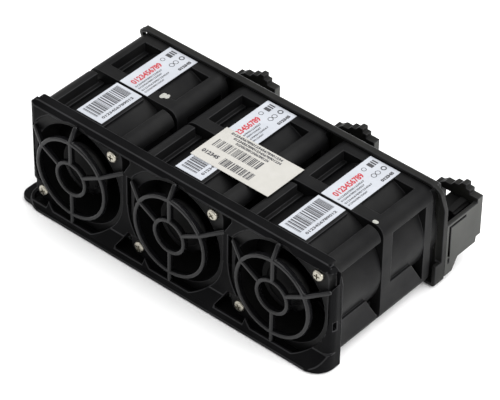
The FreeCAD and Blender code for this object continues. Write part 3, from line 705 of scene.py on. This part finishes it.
class LabelPrint:
    """Print on one CAD label. s runs across it along X, and t along it along Y, both from 0 to 1."""

    def __init__(self, node):
        self.low, self.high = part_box(node)
        self.size = self.high - self.low
        self.pieces = []

    def point(self, s, t):
        """Point on the label's face."""
        return Vector((self.low.x + s * self.size.x, self.low.y + t * self.size.y, self.high.z))

    def take(self, piece, ink):
        """Keep a new piece, with its ink."""
        place_mesh(piece, Matrix.Identity(4))
        coat(piece, [ink])
        self.pieces.append(piece)

    def bars(self, ranges):
        """Rectangles of ink, each from (s, t) to (s, t), raised by the ink's height."""
        bpy.ops.object.select_all(action="DESELECT")
        bpy.ops.mesh.primitive_plane_add(size=1, location=(0, 0, 0))
        sheet = bpy.context.object
        only(sheet)
        bpy.ops.object.mode_set(mode="EDIT")
        bpy.ops.mesh.delete(type="VERT")
        for s0, t0, s1, t1 in ranges:
            start, end = self.point(s0, t0), self.point(s1, t1)
            centre = (start + end) / 2
            bpy.ops.mesh.primitive_plane_add(size=1, location=centre)
            bpy.ops.transform.resize(value=(abs(end.x - start.x), abs(end.y - start.y), 1),
                                     center_override=centre)
        bpy.ops.mesh.select_all(action="SELECT")
        bpy.ops.mesh.extrude_region_move(TRANSFORM_OT_translate={"value": (0, 0, ink_height)})
        bpy.ops.object.mode_set(mode="OBJECT")
        self.take(sheet, black_ink)

    def barcode(self, s_range, t_range, count, along_x=False, seed=3):
        """Bars of mixed widths with gaps of mixed widths, stacked along the label or across it."""
        dice = random.Random(seed)
        widths = [dice.choice(bar_widths) for _ in range(2 * count - 1)]
        low, high = s_range if along_x else t_range
        step = (high - low) / sum(widths)
        ranges = []
        at = low
        for i, width in enumerate(widths):
            if i % 2 == 0 and along_x:
                ranges.append((at, t_range[0], at + width * step, t_range[1]))
            elif i % 2 == 0:
                ranges.append((s_range[0], at, s_range[1], at + width * step))
            at += width * step
        self.bars(ranges)

    def figures(self, words, s, t, length, height_mm, ink=black_ink, along_x=False, bold=0.0):
        """Row of figures from (s, t), as long as asked; bold is how far each stroke is widened."""
        bpy.ops.object.select_all(action="DESELECT")
        bpy.ops.object.text_add()
        row = bpy.context.object
        row.data.body = words
        row.data.offset = bold
        row.data.resolution_u = 4
        row.data.extrude = 0.02
        only(row)
        bpy.ops.object.convert(target="MESH")
        row = bpy.context.object
        corners = [vertex.co for vertex in row.data.vertices]
        wide = max(co.x for co in corners) - min(co.x for co in corners)
        tall = max(co.y for co in corners) - min(co.y for co in corners)
        deep = max(co.z for co in corners) - min(co.z for co in corners)
        fit = Matrix.Diagonal((length / wide, height_mm * MM / tall, ink_height / deep, 1))
        turn = Matrix.Identity(4) if along_x else Matrix.Rotation(math.radians(90), 4, "Z")
        place_mesh(row, Matrix.Translation(self.point(s, t)) @ turn @ fit)
        self.take(row, ink)

    def ring(self, s, t, radius_mm, bar_mm):
        """Printed ring: a round sheet, inset to its bar's width, with the middle taken out."""
        bpy.ops.object.select_all(action="DESELECT")
        bpy.ops.mesh.primitive_circle_add(vertices=32, radius=radius_mm * MM, fill_type="NGON",
                                          location=self.point(s, t))
        ring = bpy.context.object
        only(ring)
        bpy.ops.object.mode_set(mode="EDIT")
        bpy.ops.mesh.select_all(action="SELECT")
        bpy.ops.mesh.inset(thickness=bar_mm * MM)
        bpy.ops.mesh.delete(type="FACE")
        bpy.ops.mesh.select_all(action="SELECT")
        bpy.ops.mesh.extrude_region_move(TRANSFORM_OT_translate={"value": (0, 0, ink_height)})
        bpy.ops.object.mode_set(mode="OBJECT")
        self.take(ring, black_ink)

    def finish(self, name, body):
        """Join the label's print into one piece that rides with the label."""
        piece = joined(self.pieces, name)
        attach(piece, body)
        return piece

# %% [markdown]
# ## Print of the fans' labels
# Every fan has the same two labels. The front one has a barcode and a row of figures. The rear one has
# large red figures, rows of small ones, a dark block and some rings. Both are printed once, on the
# middle fan, and copied to the others.

# %% The fans' printed labels
def printed_front_label(node):
    """Barcode across the label, with a row of figures beside it."""
    label = LabelPrint(node)
    label.barcode((0.10, 0.68), (0.08, 0.94), 26)
    label.figures("0123456789012", 0.88, 0.12, 0.76 * label.size.y, 1.2, bold=0.04)
    return label


def printed_rear_label(node):
    """Red figures, rows of small figures, a dark block, and plain rings."""
    label = LabelPrint(node)
    length = label.size.y
    label.figures("0123456789", 0.40, 0.08, 0.56 * length, 2.6, red_ink, bold=0.04)
    for s, end in ((0.53, 0.56), (0.64, 0.5), (0.76, 0.58), (0.87, 0.42)):
        label.figures("012345678901234567", s, 0.04, (end - 0.04) * length, 0.8, bold=0.03)
    label.figures("012345", 0.90, 0.70, 0.24 * length, 1.3, bold=0.07)
    label.bars([(0.14, 0.82, 0.34, 0.88), (0.14, 0.895, 0.34, 0.92), (0.14, 0.935, 0.34, 0.96)])
    label.ring(0.22, 0.73, 0.9, 0.22)
    label.ring(0.57, 0.92, 1.05, 0.42)
    label.ring(0.57, 0.80, 1.0, 0.24)
    label.ring(0.57, 0.72, 1.0, 0.24)
    return label


for half, printed in (("front", printed_front_label), ("rear", printed_rear_label)):
    node = f"middle_{half}_label"
    ink = printed(node).finish(f"middle_{half}_print", frame["nodes"][node]["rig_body"])
    for name in ("left", "right"):
        step = Matrix.Translation((fan_x[name] - fan_x["middle"], 0, 0))
        copy = own_copy(ink, f"{name}_{half}_print", step)
        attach(copy, frame["nodes"][f"{name}_{half}_label"]["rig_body"])
    print(half, "label:", len(ink.data.polygons), "faces of ink")

# %% [markdown]
# ## Print of the asset label
# The owner of a machine adds a paper label of their own: three rows of figures, each further in than
# the one above, and two barcodes with a short number. It reads along X.

# %% The printed asset label
asset = LabelPrint("asset_label")
for t, start, end in ((0.90, 0.10, 0.76), (0.81, 0.17, 0.78), (0.72, 0.24, 0.66)):
    asset.figures("0123456789012345678901234", start, t, (end - start) * asset.size.x, 1.25,
                  along_x=True, bold=0.05)
asset.barcode((0.07, 0.65), (0.43, 0.66), 30, along_x=True, seed=5)
asset.barcode((0.31, 0.70), (0.11, 0.31), 22, along_x=True, seed=8)
asset.figures("012345", 0.05, 0.19, 0.21 * asset.size.x, 1.8, along_x=True, bold=0.05)
asset_ink = asset.finish("asset_print", frame["nodes"]["asset_label"]["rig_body"])
print("asset label:", len(asset_ink.data.polygons), "faces of ink")

# %% [markdown]
# ## Dabs of paint and mould vents
# A tester marks a fan with a dab of white paint: a small uneven drop that domes as it dries. The one
# on the left fan was smeared, so it is two drops. Each fan's front flange has a tiny vent, whose hole
# is not cut: a low black disc stands for it, as painted shade. All start as a round sheet. A dab's
# outline is pushed about by chance, with a fixed seed, and its top is drawn in.

# %% Drops on the fans
rim_share, top_inset = 0.6, 0.3
drop_smooth_angle = math.radians(60)
paint_sink = 0.02 * MM
vent_side, vent_rise = 7.0 * MM, 18.2 * MM


def drop(name, centre, radii_mm, height_mm, material, body, axis="Z", ragged_mm=0.0, seed=1):
    """Low drop on a face, with its own outline, rounded towards the top."""
    bpy.ops.object.select_all(action="DESELECT")
    bpy.ops.mesh.primitive_circle_add(vertices=28, radius=1, fill_type="NGON")
    piece = bpy.context.object
    place_mesh(piece, Matrix.Diagonal((radii_mm[0] * MM, radii_mm[1] * MM, 1, 1)))
    only(piece)
    bpy.ops.object.mode_set(mode="EDIT")
    bpy.ops.mesh.select_all(action="SELECT")
    if ragged_mm:
        bpy.ops.transform.vertex_random(offset=ragged_mm * MM, seed=seed)
        bpy.ops.mesh.vertices_smooth(factor=0.5, repeat=1)
        bpy.ops.transform.resize(value=(1, 1, 0), center_override=(0, 0, 0))
    bpy.ops.mesh.extrude_region_move(TRANSFORM_OT_translate={"value": (0, 0, height_mm * MM * rim_share)})
    bpy.ops.mesh.inset(thickness=min(radii_mm) * top_inset * MM, depth=height_mm * MM * (1 - rim_share))
    bpy.ops.object.mode_set(mode="OBJECT")
    bpy.ops.object.shade_smooth_by_angle(angle=drop_smooth_angle)
    turn = Matrix.Rotation(math.radians(90), 4, "X") if axis == "Y" else Matrix.Identity(4)
    place_mesh(piece, Matrix.Translation(centre) @ turn)
    piece.name = name
    coat(piece, [material])
    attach(piece, body)
    return piece


rear_body = frame["nodes"]["rear_housings"]["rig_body"]
front_body = frame["nodes"]["front_housings"]["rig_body"]
paint_z = fan_top - paint_sink
drop("left_paint_dab", (fan_x["left"] + 9.9 * MM, joint_y + 4.1 * MM, paint_z), (1.0, 1.5), 0.08,
     white_paint, rear_body, ragged_mm=0.5, seed=4)
drop("left_paint_smear", (fan_x["left"] + 11.1 * MM, joint_y + 4.5 * MM, paint_z), (1.3, 1.0), 0.07,
     white_paint, rear_body, ragged_mm=0.6, seed=11)
drop("right_paint_dab", (fan_x["right"] + 15.7 * MM, joint_y + 0.9 * MM, paint_z), (1.1, 0.8), 0.08,
     white_paint, rear_body, ragged_mm=0.2, seed=9)
# Each vent is a black disc of painted shade, not a hole.
for name in fan_names:
    vent = (fan_x[name] + vent_side, fan_front + 0.01 * MM, axis_z + vent_rise)
    drop(f"{name}_vent", vent, (0.5, 0.5), 0.03, shadow_black, front_body, axis="Y")
print("paint lies at", round(paint_z / MM, 2), "mm")

# %% [markdown]
# ## Plain finishes for the parts inside
# Shafts, magnets, stators and boards hardly show, deep behind the blades. Their CAD shapes are right, so
# they keep them and only take a material.

# %% Materials for the CAD nodes that stay
finish_of = {"shaft": shaft_steel, "rotor_magnet": magnet_ferrite, "stator": core_steel,
             "circuit_board": board_lacquer, "label": film, "plug_pins": pin_brass}
for node, cad_object in frame["nodes"].items():
    for ending, material in finish_of.items():
        if node.endswith(ending):
            coat(cad_object, [material])
coat(frame["nodes"]["asset_label"], [paper])
print("materials of the parts inside:", [material.name for material in finish_of.values()])

# %% [markdown]
# ## The floor
# A product picture is taken on a white sweep. The floor is a wide plane of flat white paint with no
# shine, so it keeps only the object's soft shadow.

# %% The white floor
floor_width, floor_gap = 2.4, 0.4 * MM


def white_floor():
    """Wide pale plane just under the object, white apart from the object's shadow."""
    bpy.ops.mesh.primitive_plane_add(size=floor_width, location=(0, 0, -floor_gap))
    floor = bpy.context.object
    floor.name = "studio_floor"
    material, _ = plain_surface("painted_studio_floor", "#ffffff", roughness=0.9, specular=0.0)
    coat(floor, [material])
    return floor


white_floor()
print("floor:", floor_width, "m wide and", round(floor_gap / MM, 2), "mm under the module")

# %% [markdown]
# ## The studio's light
# Big soft lights leave no hard edge. The world is white to the camera and dimmer as a light, so dark
# plastic stays dark: a Light Path node tells the two apart, and reflections see the dimmer one. One large
# lamp hangs above, from behind, and draws the tops. Two stand at the sides, and the right one is the
# stronger, as it has the ends of the housings and shrouds to light. Lamps and camera are placed by
# azimuth and elevation, where azimuth 0 is the front.

# %% World and lamps
lamp_distance = 1.5


def studio_world(strength):
    """World that lights softly, and is plain white to the camera."""
    world = bpy.data.worlds.new("studio_world")
    bpy.context.scene.world = world
    world.use_nodes = True
    world.node_tree.nodes.clear()
    ray = add_node(world, "ShaderNodeLightPath")
    soft = add_node(world, "ShaderNodeBackground", {"Color": linear("#ffffff"), "Strength": strength})
    white = add_node(world, "ShaderNodeBackground", {"Color": linear("#ffffff"), "Strength": 1.0})
    mix = add_node(world, "ShaderNodeMixShader",
                   links={0: (ray, "Is Camera Ray"), 1: (soft, "Background"), 2: (white, "Background")})
    add_node(world, "ShaderNodeOutputWorld", links={"Surface": (mix, "Shader")})


def direction(azimuth, elevation):
    """Unit vector from the object towards a lamp or camera at this azimuth and elevation in degrees."""
    a, e = math.radians(azimuth), math.radians(elevation)
    return Vector((math.sin(a) * math.cos(e), -math.cos(a) * math.cos(e), math.sin(e)))


def soft_lamp(name, azimuth, elevation, size, power):
    """Square area lamp at the lamps' distance from the object, facing it."""
    back = direction(azimuth, elevation)
    data = bpy.data.lights.new(name, "AREA")
    data.size = size
    data.energy = power
    lamp = bpy.data.objects.new(name, data)
    bpy.context.scene.collection.objects.link(lamp)
    lamp.location = back * lamp_distance
    lamp.rotation_euler = back.to_track_quat("Z", "Y").to_euler()


studio_world(strength=0.75)
soft_lamp("overhead_softbox", azimuth=160, elevation=65, size=1.8, power=22)
soft_lamp("left_softbox", azimuth=-75, elevation=35, size=1.2, power=5)
soft_lamp("right_softbox", azimuth=95, elevation=30, size=1.0, power=14)
print("lamps:", len(bpy.data.lights))

# %% [markdown]
# ## The camera
# A long lens from over a metre keeps the module's edges nearly parallel, as in a catalogue. The camera
# stands to the front right and looks down on the labels. The view transform is Standard, so that a
# colour in the render is the colour that was set.

# %% Place the camera
camera_azimuth, camera_elevation, camera_roll = 40.39, 40.04, 0.88
camera_distance = 1.0889
aim_point = Vector((-52.54, 99.3, -56.36)) * MM
lens_mm, sensor_mm = 211.97, 36.0


def product_camera():
    """Long lens that looks down on the front right of the module, from a little over a metre."""
    back = direction(camera_azimuth, camera_elevation)
    side = Vector((0, 0, 1)).cross(back).normalized()
    up = back.cross(side)
    data = bpy.data.cameras.new("product_camera")
    data.lens = lens_mm
    data.sensor_width = sensor_mm
    data.clip_end = 20
    camera = bpy.data.objects.new("product_camera", data)
    bpy.context.scene.collection.objects.link(camera)
    turn = Matrix((side, up, back)).transposed() @ Matrix.Rotation(math.radians(camera_roll), 3, "Z")
    camera.matrix_world = Matrix.Translation(aim_point + back * camera_distance) @ turn.to_4x4()
    bpy.context.scene.camera = camera


product_camera()
bpy.context.scene.view_settings.view_transform = "Standard"
print("camera:", lens_mm, "mm lens,", camera_distance, "m from the point it aims at")
